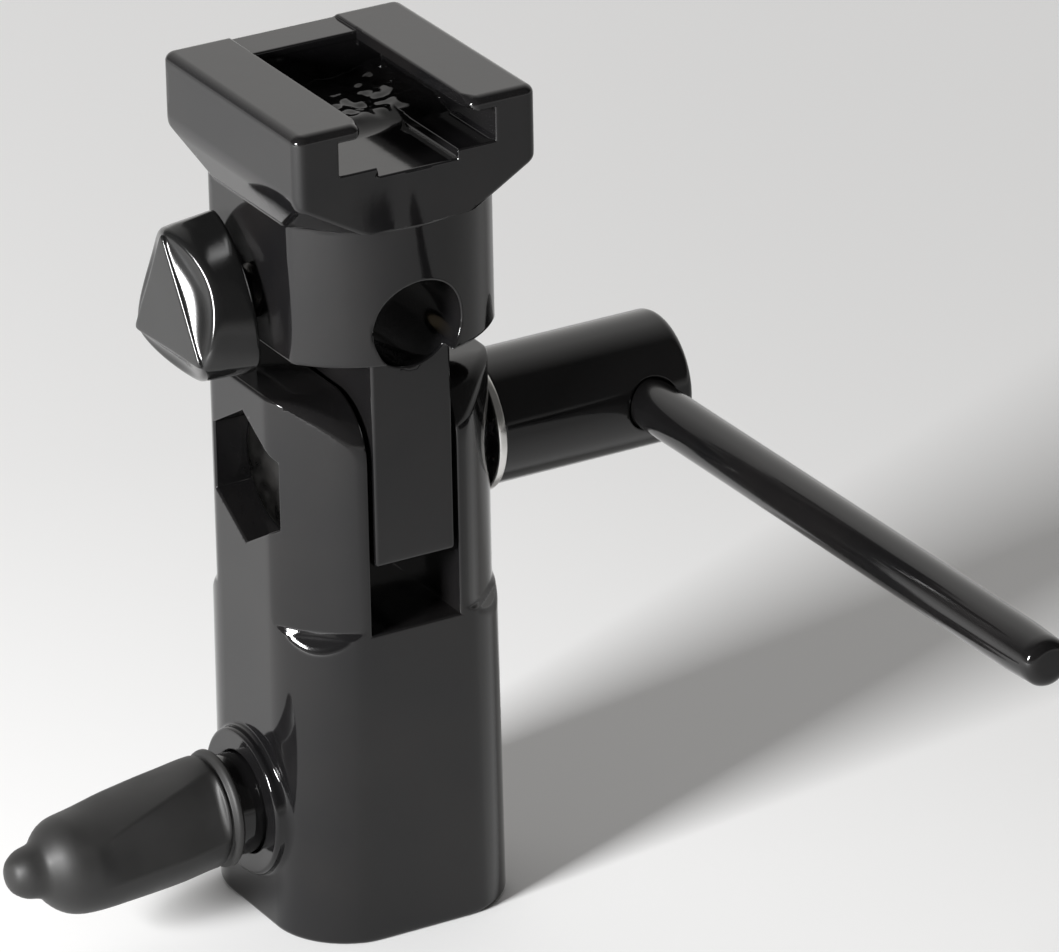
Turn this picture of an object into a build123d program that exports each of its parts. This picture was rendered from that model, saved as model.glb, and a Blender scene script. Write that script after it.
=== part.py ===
from build123d import *
import math
import os

os.makedirs("parts", exist_ok=True)

# Umbrella swivel bracket. Millimetres. Origin at the centre of the stand socket's
# mouth, +Z up, hinge bolt along X, accessory shoe open towards -Y.

# Lower body
BODY_W = 27.0          # clevis width along X
BODY_D = 28.0          # clevis depth along Y
BASE_W = 27.5          # width at the drafted foot
BASE_D = 28.5
BASE_R = 9.0           # vertical corner radius at the foot
BODY_R = 8.75          # vertical corner radius at the clevis floor and above
FOOT_ROUND = 0.7
CLEVIS_CHAMFER = 6.5   # flat vertical corner faces of the clevis
FLOOR_Z = 36.6         # clevis floor
LEDGE_RUN = 0.9        # sloping crescent under each clevis corner
LEDGE_DROP = 1.45
CHEEK_TOP = 63.4
CHEEK_ROUND = 7.0
SLOT_W = 10.8
SOCKET_R = 8.1         # 16 mm stand spigot with 0.1 mm radial clearance
SOCKET_DEPTH = 33.0

# Hinge clamp
HINGE_Y = -0.8
HINGE_Z = 52.3
BOLT_R = 4.0           # M8
CHEEK_HOLE_R = 4.2
TANG_HOLE_R = 4.06
HEX_AF = 13.0
RECESS_AF = 13.3
RECESS_DEPTH = 6.45
HEAD_H = 2.8
BOLT_END = 29.5        # end of the bolt inside the hub
DISC_R = 8.5           # friction discs either side of the tang
DISC_T = 0.5
WASHER_R = 7.9
WASHER_T = 1.05
HUB_R = 7.4
HUB_START = 14.6
HUB_END = 38.3
HUB_BORE = 15.2        # depth of the hub's bolt hole
ROD_X = 33.1
ROD_R = 2.85
ROD_TIP = 86.2         # rod tip measured from the hinge axis
ROD_TILT = 0.6         # degrees above horizontal

# Swivel head
HEAD_W = 28.8
HEAD_FRONT = -16.7
HEAD_BACK = 13.3
HEAD_TOP = 96.7
HEAD_SIDE_Z = 88.8     # foot of the vertical sides
SHOULDER_Z = 84.2      # foot of the sloping underside
NECK_HALF = 12.3       # flat sides of the neck
SIDE_SLOPE = Vector(-(HEAD_SIDE_Z - SHOULDER_Z + 0.4), 0, -(HEAD_W / 2 - NECK_HALF))  # -X underside normal
CORNER_SLOPE = Vector(-24.8, -21.2, -42.6)  # normal of the facet under the front -X corner
NECK_R = 15.3
NECK_BOTTOM = 68.5
TANG_W = 9.6
TANG_REACH = 13.2      # front and back of the tang from the hinge axis
TANG_BOTTOM = 44.4
SHOE_W = 18.66         # ISO 518 shoe undercut
SHOE_LIP_GAP = 12.8
SHOE_FLOOR = 91.5
SHOE_CEILING = 95.2
SHOE_BACK = 8.0
LEAD_R = 1.2
GROOVE_W = 9.6
GROOVE_DEPTH = 1.0
GROOVE_BACK = -4.0     # the groove stops short of the slot's rear wall
NOTCH_DEPTH = 0.4      # rear wall of the slot, below the rail tops
UMBRELLA_R = 5.25
UMBRELLA_Z = 72.25

# Umbrella thumb screw (M6) and stand thumb screw (M8)
U_SCREW_Y = 2.0
U_SCREW_R = 3.0
U_KNOB_BASE = -14.0
U_KNOB_FACE = -20.8
U_KNOB_TURN = 85.8     # direction of the first corner in the YZ plane, degrees
U_SCREW_SUNK = 2.3     # screw head end, behind the knob's face
U_PAD_START = -7.1     # brass pads on the screw tips
U_PAD_R = 2.6
U_PAD_T = 1.7
S_SCREW_Z = 13.5
S_SCREW_R = 4.0
S_BOSS_R = 8.3
S_BOSS_FACE = -14.86
S_COLLAR_R = 5.65
S_KNOB_BASE = -17.6
S_KNOB_END = -43.8
S_FLANGE_R = 6.6
S_SAG_TURN = 242.5     # direction in which the grip sags, in the YZ plane, degrees
NUB_R = 3.1
SCOOP_R = 35.0         # thumb scoops: radius along the grip, and reach from the axis
SCOOP_REACH = 4.9
S_SCREW_START = -27.0
S_PAD_START = -10.2
S_PAD_R = 3.4
S_PAD_T = 1.9
S_SCOOP_TURN = 160.0   # direction the thumb scoop faces in the YZ plane, degrees


def across(x, y=0.0, z=0.0):
    """Sketch plane facing +X at the given point, with local x along +Z."""
    return Plane(origin=(x, y, z), x_dir=(0, 0, 1), z_dir=(1, 0, 0))


def facing_back(y, x=0.0, z=0.0):
    """Sketch plane facing +Y at the given point, with local x along +X."""
    return Plane(origin=(x, y, z), x_dir=(1, 0, 0), z_dir=(0, 1, 0))


def polar(radius, degrees):
    return (radius * math.cos(math.radians(degrees)), radius * math.sin(math.radians(degrees)))


def save(part, label):
    part.label = label
    export_step(part, f"parts/{label}.step")


# Lower body: drafted block, forked top, stand socket, hex recess, screw boss
with BuildPart() as lower_body:
    with BuildSketch(Plane.XY):
        RectangleRounded(BASE_W, BASE_D, BASE_R)
    with BuildSketch(Plane.XY.offset(FLOOR_Z)):
        RectangleRounded(BODY_W, BODY_D, BODY_R)
    loft()
    fillet(lower_body.faces().sort_by(Axis.Z)[0].outer_wire().edges(), FOOT_ROUND)
    with BuildSketch(Plane.XY.offset(FLOOR_Z)):
        RectangleRounded(BODY_W, BODY_D, BODY_R)
    extrude(amount=CHEEK_TOP - FLOOR_Z)
    # flat vertical corners above the clevis floor, each with a sloping ledge at its foot
    corner_reach = (BODY_W / 2 + BODY_D / 2 - CLEVIS_CHAMFER) / math.sqrt(2)
    for sx, sy in ((1, 1), (1, -1), (-1, 1), (-1, -1)):
        out = Vector(sx, sy, 0).normalized()
        with BuildSketch(Plane(origin=(0, 0, 0), x_dir=out, z_dir=out.cross(Vector(0, 0, 1)))):
            with BuildLine():
                Polyline(
                    (corner_reach, CHEEK_TOP + 1),
                    (corner_reach, FLOOR_Z),
                    (corner_reach + 3 * LEDGE_RUN, FLOOR_Z - 3 * LEDGE_DROP),
                    (corner_reach + 8, FLOOR_Z - 3 * LEDGE_DROP),
                    (corner_reach + 8, CHEEK_TOP + 1),
                    close=True,
                )
            make_face()
        extrude(amount=12, both=True, mode=Mode.SUBTRACT)
    # cheek tops rounded front and back
    for sy in (1, -1):
        with BuildSketch(Plane.YZ):
            with BuildLine():
                Polyline(
                    (sy * (BODY_D / 2 - CHEEK_ROUND), CHEEK_TOP),
                    (sy * (BODY_D / 2 - CHEEK_ROUND), CHEEK_TOP + 2),
                    (sy * (BODY_D / 2 + 2), CHEEK_TOP + 2),
                    (sy * (BODY_D / 2 + 2), CHEEK_TOP - CHEEK_ROUND),
                    (sy * BODY_D / 2, CHEEK_TOP - CHEEK_ROUND),
                )
                RadiusArc(
                    (sy * BODY_D / 2, CHEEK_TOP - CHEEK_ROUND),
                    (sy * (BODY_D / 2 - CHEEK_ROUND), CHEEK_TOP),
                    -sy * CHEEK_ROUND,
                )
            make_face()
        extrude(amount=BODY_W, both=True, mode=Mode.SUBTRACT)
    with BuildSketch(Plane.XY.offset(FLOOR_Z)):
        Rectangle(SLOT_W, BODY_D + 4)
    extrude(amount=CHEEK_TOP - FLOOR_Z + 1, mode=Mode.SUBTRACT)
    with BuildSketch(across(S_BOSS_FACE, 0, S_SCREW_Z)):
        Circle(S_BOSS_R)
    extrude(amount=3.0)
    with BuildSketch(Plane.XY):
        Circle(SOCKET_R)
    extrude(amount=SOCKET_DEPTH, mode=Mode.SUBTRACT)
    with BuildSketch(across(-BODY_W / 2, HINGE_Y, HINGE_Z)):
        RegularPolygon(RECESS_AF / 2 / math.cos(math.radians(30)), 6)
    extrude(amount=RECESS_DEPTH, mode=Mode.SUBTRACT)
    with BuildSketch(across(-BODY_W / 2, HINGE_Y, HINGE_Z)):
        Circle(CHEEK_HOLE_R)
    extrude(amount=BODY_W, mode=Mode.SUBTRACT)
    with BuildSketch(across(S_BOSS_FACE, 0, S_SCREW_Z)):
        Circle(S_COLLAR_R + 0.08)
    extrude(amount=3.06, mode=Mode.SUBTRACT)
    with BuildSketch(across(S_BOSS_FACE, 0, S_SCREW_Z)):
        Circle(S_SCREW_R + 0.06)
    extrude(amount=10, mode=Mode.SUBTRACT)
save(lower_body.part, "lower_body")

# Swivel head: sloping shoulder first, then shoe block, neck and tang
with BuildPart() as swivel_head:
    head_mid = (HEAD_FRONT + HEAD_BACK) / 2
    with BuildSketch(Plane.XY.offset(SHOULDER_Z)):
        with Locations((0, head_mid)):
            RectangleRounded(HEAD_W, HEAD_BACK - HEAD_FRONT, 1.3)
    extrude(amount=HEAD_SIDE_Z - SHOULDER_Z)
    for sx in (-1, 1):
        side = Vector(-sx * SIDE_SLOPE.X, 0, SIDE_SLOPE.Z)
        with BuildSketch(Plane(origin=(sx * HEAD_W / 2, 0, HEAD_SIDE_Z), z_dir=side)):
            Rectangle(80, 80)
        extrude(amount=12, mode=Mode.SUBTRACT)
        for y, sy in ((HEAD_FRONT, -1), (HEAD_BACK, 1)):
            out = Vector(-sx * CORNER_SLOPE.X, -sy * CORNER_SLOPE.Y, CORNER_SLOPE.Z)
            with BuildSketch(Plane(origin=(sx * HEAD_W / 2, y, HEAD_SIDE_Z), z_dir=out)):
                Rectangle(80, 80)
            extrude(amount=20, mode=Mode.SUBTRACT)
    with BuildSketch(Plane.XY.offset(HEAD_SIDE_Z)):
        with Locations((0, head_mid)):
            RectangleRounded(HEAD_W, HEAD_BACK - HEAD_FRONT, 1.3)
    extrude(amount=HEAD_TOP - HEAD_SIDE_Z)
    fillet(swivel_head.faces().sort_by(Axis.Z)[-1].outer_wire().edges(), 1.1)
    with BuildSketch(Plane.XY.offset(NECK_BOTTOM)):
        with Locations((0, HEAD_FRONT + NECK_R)):
            Circle(NECK_R)
        with Locations((0, -2.05)):
            Rectangle(2 * NECK_HALF, 29.3, mode=Mode.INTERSECT)
    extrude(amount=HEAD_SIDE_Z - NECK_BOTTOM)
    with BuildSketch(Plane.YZ):
        with BuildLine():
            Polyline(
                (HINGE_Y - TANG_REACH, NECK_BOTTOM + 1),
                (HINGE_Y - TANG_REACH, TANG_BOTTOM + 0.6),
                (HINGE_Y - TANG_REACH + 0.6, TANG_BOTTOM),
                (HINGE_Y + TANG_REACH - 0.6, TANG_BOTTOM),
                (HINGE_Y + TANG_REACH, TANG_BOTTOM + 0.6),
                (HINGE_Y + TANG_REACH, NECK_BOTTOM + 1),
                close=True,
            )
        make_face()
    extrude(amount=TANG_W / 2, both=True)
    with BuildSketch(across(-TANG_W / 2, HINGE_Y, HINGE_Z)):
        Circle(TANG_HOLE_R)
    extrude(amount=TANG_W, mode=Mode.SUBTRACT)
    with BuildSketch(facing_back(HEAD_FRONT - 1, 0, UMBRELLA_Z)):
        Circle(UMBRELLA_R)
    extrude(amount=32, mode=Mode.SUBTRACT)
    with BuildSketch(across(-NECK_HALF, U_SCREW_Y, UMBRELLA_Z)):
        Circle(U_SCREW_R + 0.06)
    extrude(amount=NECK_HALF, mode=Mode.SUBTRACT)
    with BuildSketch(facing_back(HEAD_FRONT)):
        with Locations((0, -(SHOE_FLOOR + SHOE_CEILING) / 2)):
            Rectangle(SHOE_W, SHOE_CEILING - SHOE_FLOOR)
        with Locations((0, -(SHOE_CEILING + HEAD_TOP) / 2)):
            Rectangle(SHOE_LIP_GAP, HEAD_TOP - SHOE_CEILING + 0.2)
    extrude(amount=SHOE_BACK - HEAD_FRONT, mode=Mode.SUBTRACT)
    with BuildSketch(facing_back(HEAD_FRONT)):
        with Locations((0, -SHOE_FLOOR)):
            Rectangle(GROOVE_W, 2 * GROOVE_DEPTH)
    extrude(amount=GROOVE_BACK - HEAD_FRONT, mode=Mode.SUBTRACT)
    with BuildSketch(facing_back(SHOE_BACK)):
        with Locations((0, -HEAD_TOP)):
            Rectangle(SHOE_LIP_GAP, 2 * NOTCH_DEPTH)
    extrude(amount=HEAD_BACK - SHOE_BACK, mode=Mode.SUBTRACT)
    # rounded lead-in at the front corner of each lip
    for sx in (-1, 1):
        with BuildSketch(Plane.XY.offset(SHOE_CEILING)):
            with BuildLine():
                lip = SHOE_LIP_GAP / 2
                Polyline(
                    (sx * lip, HEAD_FRONT + LEAD_R),
                    (sx * lip, HEAD_FRONT - 1),
                    (sx * (lip + LEAD_R), HEAD_FRONT - 1),
                    (sx * (lip + LEAD_R), HEAD_FRONT),
                )
                RadiusArc(
                    (sx * (lip + LEAD_R), HEAD_FRONT),
                    (sx * lip, HEAD_FRONT + LEAD_R),
                    sx * LEAD_R,
                )
            make_face()
        extrude(amount=3, mode=Mode.SUBTRACT)
save(swivel_head.part, "swivel_head")

# Hinge bolt, friction discs and washer
with BuildPart() as hinge_bolt:
    head_x = -BODY_W / 2 + RECESS_DEPTH - HEAD_H
    with BuildSketch(across(head_x, HINGE_Y, HINGE_Z)):
        RegularPolygon(HEX_AF / 2 / math.cos(math.radians(30)), 6)
    extrude(amount=HEAD_H)
    with BuildSketch(across(head_x, HINGE_Y, HINGE_Z)):
        Circle(BOLT_R)
    extrude(amount=BOLT_END - head_x)
    chamfer(hinge_bolt.faces().sort_by(Axis.X)[-1].edges(), 0.6)
save(hinge_bolt.part, "hinge_bolt")

with BuildPart() as friction_discs:
    for x in (-SLOT_W / 2, SLOT_W / 2 - DISC_T):
        with BuildSketch(across(x, HINGE_Y, HINGE_Z)):
            Circle(DISC_R)
            Circle(CHEEK_HOLE_R, mode=Mode.SUBTRACT)
        extrude(amount=DISC_T)
save(friction_discs.part, "friction_discs")

with BuildPart() as hinge_washer:
    with BuildSketch(across(BODY_W / 2, HINGE_Y, HINGE_Z)):
        Circle(WASHER_R)
        Circle(CHEEK_HOLE_R, mode=Mode.SUBTRACT)
    extrude(amount=WASHER_T)
    fillet(hinge_washer.edges().filter_by(GeomType.CIRCLE).group_by(SortBy.RADIUS)[-1], 0.3)
save(hinge_washer.part, "hinge_washer")

# Clamp lever: threaded hub on the bolt and a rod pressed into its side
rod_dir = Vector(0, -math.cos(math.radians(ROD_TILT)), math.sin(math.radians(ROD_TILT)))
rod_plane = Plane(
    origin=Vector(ROD_X, HINGE_Y, HINGE_Z) - rod_dir * 4.0,
    x_dir=(1, 0, 0),
    z_dir=rod_dir,
)
with BuildPart() as lever_hub:
    with BuildSketch(across(HUB_START, HINGE_Y, HINGE_Z)):
        Circle(HUB_R)
    extrude(amount=HUB_END - HUB_START)
    fillet(lever_hub.faces().sort_by(Axis.X)[-1].edges(), 1.0)
    with BuildSketch(across(HUB_START, HINGE_Y, HINGE_Z)):
        Circle(BOLT_R + 0.05)
    extrude(amount=HUB_BORE, mode=Mode.SUBTRACT)
    with BuildSketch(rod_plane):
        Circle(ROD_R)
    extrude(amount=20, mode=Mode.SUBTRACT)
save(lever_hub.part, "lever_hub")

with BuildPart() as lever_rod:
    with BuildSketch(rod_plane):
        Circle(ROD_R)
    extrude(amount=ROD_TIP + 4.0)
    fillet(lever_rod.faces().sort_by(Axis.Y)[0].edges(), 1.9)
save(lever_rod.part, "lever_rod")

# Umbrella thumb screw
with BuildPart() as umbrella_screw:
    with BuildSketch(across(U_KNOB_FACE + U_SCREW_SUNK, U_SCREW_Y, UMBRELLA_Z)):
        Circle(U_SCREW_R)
    extrude(amount=U_PAD_START - (U_KNOB_FACE + U_SCREW_SUNK))
save(umbrella_screw.part, "umbrella_screw")

with BuildPart() as umbrella_pad:
    with BuildSketch(across(U_PAD_START, U_SCREW_Y, UMBRELLA_Z)):
        Circle(U_PAD_R)
    extrude(amount=U_PAD_T)
save(umbrella_pad.part, "umbrella_pad")


# three-sided knob: corner radius and mid-side radius at the base and at the face
KNOB_SECTIONS = (
    (U_KNOB_BASE, 10.1, 8.2),
    (U_KNOB_FACE, 9.7, 7.8),
)
with BuildPart() as umbrella_knob:
    # local x of the knob plane points at the first corner
    first = Vector(0, *polar(1, U_KNOB_TURN))
    for x, corner, side in KNOB_SECTIONS:
        with BuildSketch(Plane((x, U_SCREW_Y, UMBRELLA_Z), first, (-1, 0, 0))) as outline:
            with BuildLine():
                for a in (0, 120, 240):
                    ThreePointArc(polar(corner, a), polar(side, a + 60), polar(corner, a + 120))
            make_face()
            fillet(outline.vertices(), 2.2)
    loft()
    for a in (60, 180, 300):
        out = first.rotate(Axis((0, 0, 0), (-1, 0, 0)), a)
        across_side = Plane((U_KNOB_BASE, U_SCREW_Y, UMBRELLA_Z), out, out.cross(Vector(-1, 0, 0)))
        with BuildSketch(across_side):
            with Locations((7.5, U_KNOB_BASE - U_KNOB_FACE + 1.2)):
                Circle(3.3)
        extrude(amount=12, both=True, mode=Mode.SUBTRACT)
    with BuildSketch(across(U_KNOB_FACE + U_SCREW_SUNK, U_SCREW_Y, UMBRELLA_Z)):
        Circle(U_SCREW_R)
    extrude(amount=8, mode=Mode.SUBTRACT)
save(umbrella_knob.part, "umbrella_knob")

# Stand thumb screw
with BuildPart() as stand_screw:
    with BuildSketch(across(S_SCREW_START, 0, S_SCREW_Z)):
        Circle(S_SCREW_R)
    extrude(amount=S_PAD_START - S_SCREW_START)
save(stand_screw.part, "stand_screw")

with BuildPart() as stand_pad:
    with BuildSketch(across(S_PAD_START, 0, S_SCREW_Z)):
        Circle(S_PAD_R)
    extrude(amount=S_PAD_T)
save(stand_pad.part, "stand_pad")

with BuildPart() as stand_collar:
    with BuildSketch(across(S_KNOB_BASE, 0, S_SCREW_Z)):
        Circle(S_COLLAR_R)
        Circle(S_SCREW_R, mode=Mode.SUBTRACT)
    extrude(amount=3.3)
    rims = stand_collar.edges().filter_by(GeomType.CIRCLE).group_by(SortBy.RADIUS)[-1]
    fillet(rims.sort_by(Axis.X)[-1], 0.3)
save(stand_collar.part, "stand_collar")

# grip sections: distance along X, radius, and how far the centre sags towards the lower front
GRIP_SECTIONS = (
    (S_KNOB_BASE - 1.2, 6.2, 0.0),
    (-24.0, 6.48, 0.45),
    (-30.0, 6.3, 1.03),
    (-35.5, 5.85, 1.55),
    (-38.4, 4.95, 1.5),
    (-40.2, 3.3, 1.45),
)
with BuildPart() as stand_knob:
    with BuildSketch(across(S_KNOB_BASE, 0, S_SCREW_Z)):
        Circle(S_FLANGE_R)
    extrude(amount=-1.2)
    for x, radius, sag in GRIP_SECTIONS:
        y, z = polar(sag, S_SAG_TURN)
        with BuildSketch(across(x, y, S_SCREW_Z + z)):
            Circle(radius)
    loft()
    with BuildSketch(across(-40.2, y, S_SCREW_Z + z)):
        Circle(NUB_R)
    extrude(amount=S_KNOB_END + 40.2)
    fillet(stand_knob.faces().sort_by(Axis.X)[0].edges(), 2.0)
    for a in (S_SCOOP_TURN, S_SCOOP_TURN + 180):
        side = Vector(0, *polar(1, a))
        edge = Vector(1, 0, 0).cross(side)
        with BuildSketch(Plane(origin=(-25.5, 0, S_SCREW_Z), x_dir=side, z_dir=edge)):
            with Locations((SCOOP_R + SCOOP_REACH, 0)):
                Circle(SCOOP_R)
        extrude(amount=12, both=True, mode=Mode.SUBTRACT)
    with BuildSketch(across(S_SCREW_START, 0, S_SCREW_Z)):
        Circle(S_SCREW_R)
    extrude(amount=S_KNOB_BASE - S_SCREW_START, mode=Mode.SUBTRACT)
save(stand_knob.part, "stand_knob")
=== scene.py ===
"""Umbrella swivel bracket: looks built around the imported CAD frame.

Metres, in the CAD frame: origin at the mouth of the stand socket, +Z up, hinge bolt along X,
accessory shoe open towards -Y. Sizes named in millimetres are multiplied by MM where they are used.
"""

import math

import bmesh
import bpy
import numpy as np
import openvdb
from mathutils import Matrix, Vector


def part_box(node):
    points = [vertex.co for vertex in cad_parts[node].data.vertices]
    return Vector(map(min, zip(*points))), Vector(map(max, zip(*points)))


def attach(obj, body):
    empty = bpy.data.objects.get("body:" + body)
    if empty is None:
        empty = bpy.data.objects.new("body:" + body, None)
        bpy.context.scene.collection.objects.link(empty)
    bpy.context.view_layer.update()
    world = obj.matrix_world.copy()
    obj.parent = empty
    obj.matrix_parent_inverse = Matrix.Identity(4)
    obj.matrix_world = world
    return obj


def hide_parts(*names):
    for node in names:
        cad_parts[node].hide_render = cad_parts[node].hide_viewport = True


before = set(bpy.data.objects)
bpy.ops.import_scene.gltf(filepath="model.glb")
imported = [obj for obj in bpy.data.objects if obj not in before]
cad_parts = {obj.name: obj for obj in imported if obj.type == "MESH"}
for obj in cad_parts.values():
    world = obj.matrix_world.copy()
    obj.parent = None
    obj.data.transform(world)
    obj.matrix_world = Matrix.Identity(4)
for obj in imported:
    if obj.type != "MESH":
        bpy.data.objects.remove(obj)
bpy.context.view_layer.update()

MM = 0.001
scene = bpy.context.scene


# ---------------------------------------------------------------- materials
def new_material(name):
    """An empty node material with its output and Principled shader."""
    material = bpy.data.materials.new(name)
    material.use_nodes = True
    tree = material.node_tree
    tree.nodes.clear()
    shader = tree.nodes.new("ShaderNodeBsdfPrincipled")
    output = tree.nodes.new("ShaderNodeOutputMaterial")
    tree.links.new(shader.outputs["BSDF"], output.inputs["Surface"])
    return material, tree, shader


def noise(tree, scale, detail=3.0, stretch=(1, 1, 1)):
    """Noise in object space, at a scale in waves per metre."""
    coordinates = tree.nodes.new("ShaderNodeTexCoord")
    mapping = tree.nodes.new("ShaderNodeMapping")
    mapping.inputs["Scale"].default_value = stretch
    texture = tree.nodes.new("ShaderNodeTexNoise")
    texture.inputs["Scale"].default_value = scale
    texture.inputs["Detail"].default_value = detail
    tree.links.new(coordinates.outputs["Object"], mapping.inputs["Vector"])
    tree.links.new(mapping.outputs["Vector"], texture.inputs["Vector"])
    return texture.outputs["Fac"]


def remap(tree, value, low, high, start=0.3, end=0.7):
    """Maps a value between start and end to the range low to high."""
    node = tree.nodes.new("ShaderNodeMapRange")
    node.inputs["From Min"].default_value = start
    node.inputs["From Max"].default_value = end
    node.inputs["To Min"].default_value = low
    node.inputs["To Max"].default_value = high
    tree.links.new(value, node.inputs["Value"])
    return node.outputs["Result"]


def blend_colours(tree, factor, first, second):
    node = tree.nodes.new("ShaderNodeMix")
    node.data_type = "RGBA"
    node.inputs[6].default_value = (*first, 1)
    node.inputs[7].default_value = (*second, 1)
    tree.links.new(factor, node.inputs[0])
    return node.outputs[2]


def bump(tree, height, strength, distance, normal=None):
    node = tree.nodes.new("ShaderNodeBump")
    node.inputs["Strength"].default_value = strength
    node.inputs["Distance"].default_value = distance
    tree.links.new(height, node.inputs["Height"])
    if normal is not None:
        tree.links.new(normal, node.inputs["Normal"])
    return node.outputs["Normal"]


def gloss_paint(name, dark, light, roughness, peel):
    """Glossy black enamel: faint mottling, soft orange peel and uneven polish."""
    material, tree, shader = new_material(name)
    colour = blend_colours(tree, remap(tree, noise(tree, 90, 5), 0, 1), dark, light)
    tree.links.new(colour, shader.inputs["Base Color"])
    polish = remap(tree, noise(tree, 160, 6), roughness * 0.8, roughness * 1.3)
    tree.links.new(polish, shader.inputs["Roughness"])
    skin = bump(tree, noise(tree, 900, 2), peel, 0.000012)
    skin = bump(tree, noise(tree, 170, 2), peel, 0.00004, skin)
    tree.links.new(skin, shader.inputs["Normal"])
    shader.inputs["IOR"].default_value = 1.44
    return material


def soft_plastic():
    """Satin moulded thermoplastic with a fine even grain."""
    material, tree, shader = new_material("soft_plastic")
    colour = blend_colours(tree, noise(tree, 120, 4), (0.010, 0.010, 0.010), (0.018, 0.0175, 0.017))
    tree.links.new(colour, shader.inputs["Base Color"])
    tree.links.new(remap(tree, noise(tree, 240, 5), 0.44, 0.56), shader.inputs["Roughness"])
    grain = bump(tree, noise(tree, 4200, 2), 0.25, 0.00001)
    tree.links.new(grain, shader.inputs["Normal"])
    shader.inputs["IOR"].default_value = 1.42
    return material


def metal(name, dark, light, roughness, stretch=(1, 1, 1)):
    """Plated or bare metal with turning marks along the stretched axis."""
    material, tree, shader = new_material(name)
    shader.inputs["Metallic"].default_value = 1.0
    colour = blend_colours(tree, remap(tree, noise(tree, 260, 5), 0, 1), dark, light)
    tree.links.new(colour, shader.inputs["Base Color"])
    marks = noise(tree, 500, 3, stretch)
    tree.links.new(remap(tree, marks, roughness * 0.75, roughness * 1.35), shader.inputs["Roughness"])
    tree.links.new(bump(tree, marks, 0.2, 0.00001), shader.inputs["Normal"])
    return material


def fibre():
    """Pressed fibre friction disc: matt, speckled."""
    material, tree, shader = new_material("fibre")
    speckle = remap(tree, noise(tree, 2600, 3), 0, 1, 0.45, 0.6)
    colour = blend_colours(tree, speckle, (0.018, 0.016, 0.014), (0.06, 0.05, 0.04))
    tree.links.new(colour, shader.inputs["Base Color"])
    tree.links.new(remap(tree, noise(tree, 700, 3), 0.7, 0.95), shader.inputs["Roughness"])
    tree.links.new(bump(tree, speckle, 0.4, 0.00003), shader.inputs["Normal"])
    return material


PAINT = gloss_paint("casting_enamel", (0.0045, 0.0045, 0.005), (0.0075, 0.007, 0.007), 0.075, 0.22)
LEVER_PAINT = gloss_paint("lever_enamel", (0.004, 0.004, 0.0042), (0.0065, 0.006, 0.006), 0.1, 0.18)
KNOB_PLASTIC = gloss_paint("knob_plastic", (0.006, 0.006, 0.006), (0.009, 0.009, 0.009), 0.14, 0.2)
SOFT_PLASTIC = soft_plastic()
BLACK_STEEL = metal("black_steel", (0.034, 0.033, 0.032), (0.048, 0.046, 0.044), 0.33)
STEEL = metal("zinc_steel", (0.62, 0.61, 0.59), (0.78, 0.77, 0.75), 0.22, (1, 1, 1))
SCREW_STEEL = metal("screw_steel", (0.36, 0.35, 0.34), (0.5, 0.49, 0.47), 0.28, (0.2, 1, 1))
BRASS = metal("pad_brass", (0.30, 0.24, 0.15), (0.42, 0.34, 0.22), 0.36, (0.2, 1, 1))
FIBRE = fibre()


# ---------------------------------------------------------------- mesh helpers
SMOOTH_BELOW = math.radians(50)  # faces that meet at less than this are shaded as one


def add_piece(name, bm, body, material, replaces):
    """Turns a bmesh into a smooth-shaded piece that rides on a body in place of its CAD node."""
    bmesh.ops.recalc_face_normals(bm, faces=bm.faces)
    mesh = bpy.data.meshes.new(name)
    bm.to_mesh(mesh)
    bm.free()
    mesh.materials.append(material)
    mesh.shade_smooth()
    piece = bpy.data.objects.new(name, mesh)
    scene.collection.objects.link(piece)
    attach(piece, body)
    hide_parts(replaces)
    return piece


def join_rings(bm, rings, closed=False):
    """Faces between neighbouring rings of vertices; a ring of one vertex is a pole."""
    pairs = list(zip(rings, rings[1:]))
    if closed:
        pairs.append((rings[-1], rings[0]))
    for first, second in pairs:
        count = max(len(first), len(second))
        for i in range(count):
            j = (i + 1) % count
            corners = []
            for ring, index in ((first, i), (first, j), (second, j), (second, i)):
                vertex = ring[index % len(ring)]
                if vertex not in corners:
                    corners.append(vertex)
            bm.faces.new(corners)


def polar_ring(bm, centre, points):
    """One ring about the X axis through centre, from (x, radius, angle) points in metres."""
    return [
        bm.verts.new((x, centre.y + radius * math.cos(angle), centre.z + radius * math.sin(angle)))
        for x, radius, angle in points
    ]


def lathe(bm, profile, centre, segments=96, closed=False):
    """Revolves (x, radius) points in millimetres about the X axis through centre."""
    rings = []
    for x, radius in profile:
        if radius <= 0:
            rings.append(polar_ring(bm, centre, [(x * MM, 0, 0)]))
            continue
        turns = [math.tau * i / segments for i in range(segments)]
        rings.append(polar_ring(bm, centre, [(x * MM, radius * MM, angle) for angle in turns]))
    join_rings(bm, rings, closed)


def rounded(corners, radius, steps=4, closed=False):
    """A profile whose corners become arcs of the given radius; an open profile keeps its two ends."""
    count = len(corners)
    result = [] if closed else [corners[0]]
    for k in range(count) if closed else range(1, count - 1):
        before, corner, after = (Vector(corners[i % count]) for i in (k - 1, k, k + 1))
        u, v = (before - corner), (after - corner)
        reach = min(radius / math.tan(u.angle(v) / 2), 0.45 * u.length, 0.45 * v.length)
        start, end = corner + u.normalized() * reach, corner + v.normalized() * reach
        for i in range(steps + 1):
            t = i / steps
            blend = start * (1 - t) ** 2 + corner * 2 * t * (1 - t) + end * t ** 2
            result.append((blend.x, blend.y))
    return result if closed else result + [corners[-1]]


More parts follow.
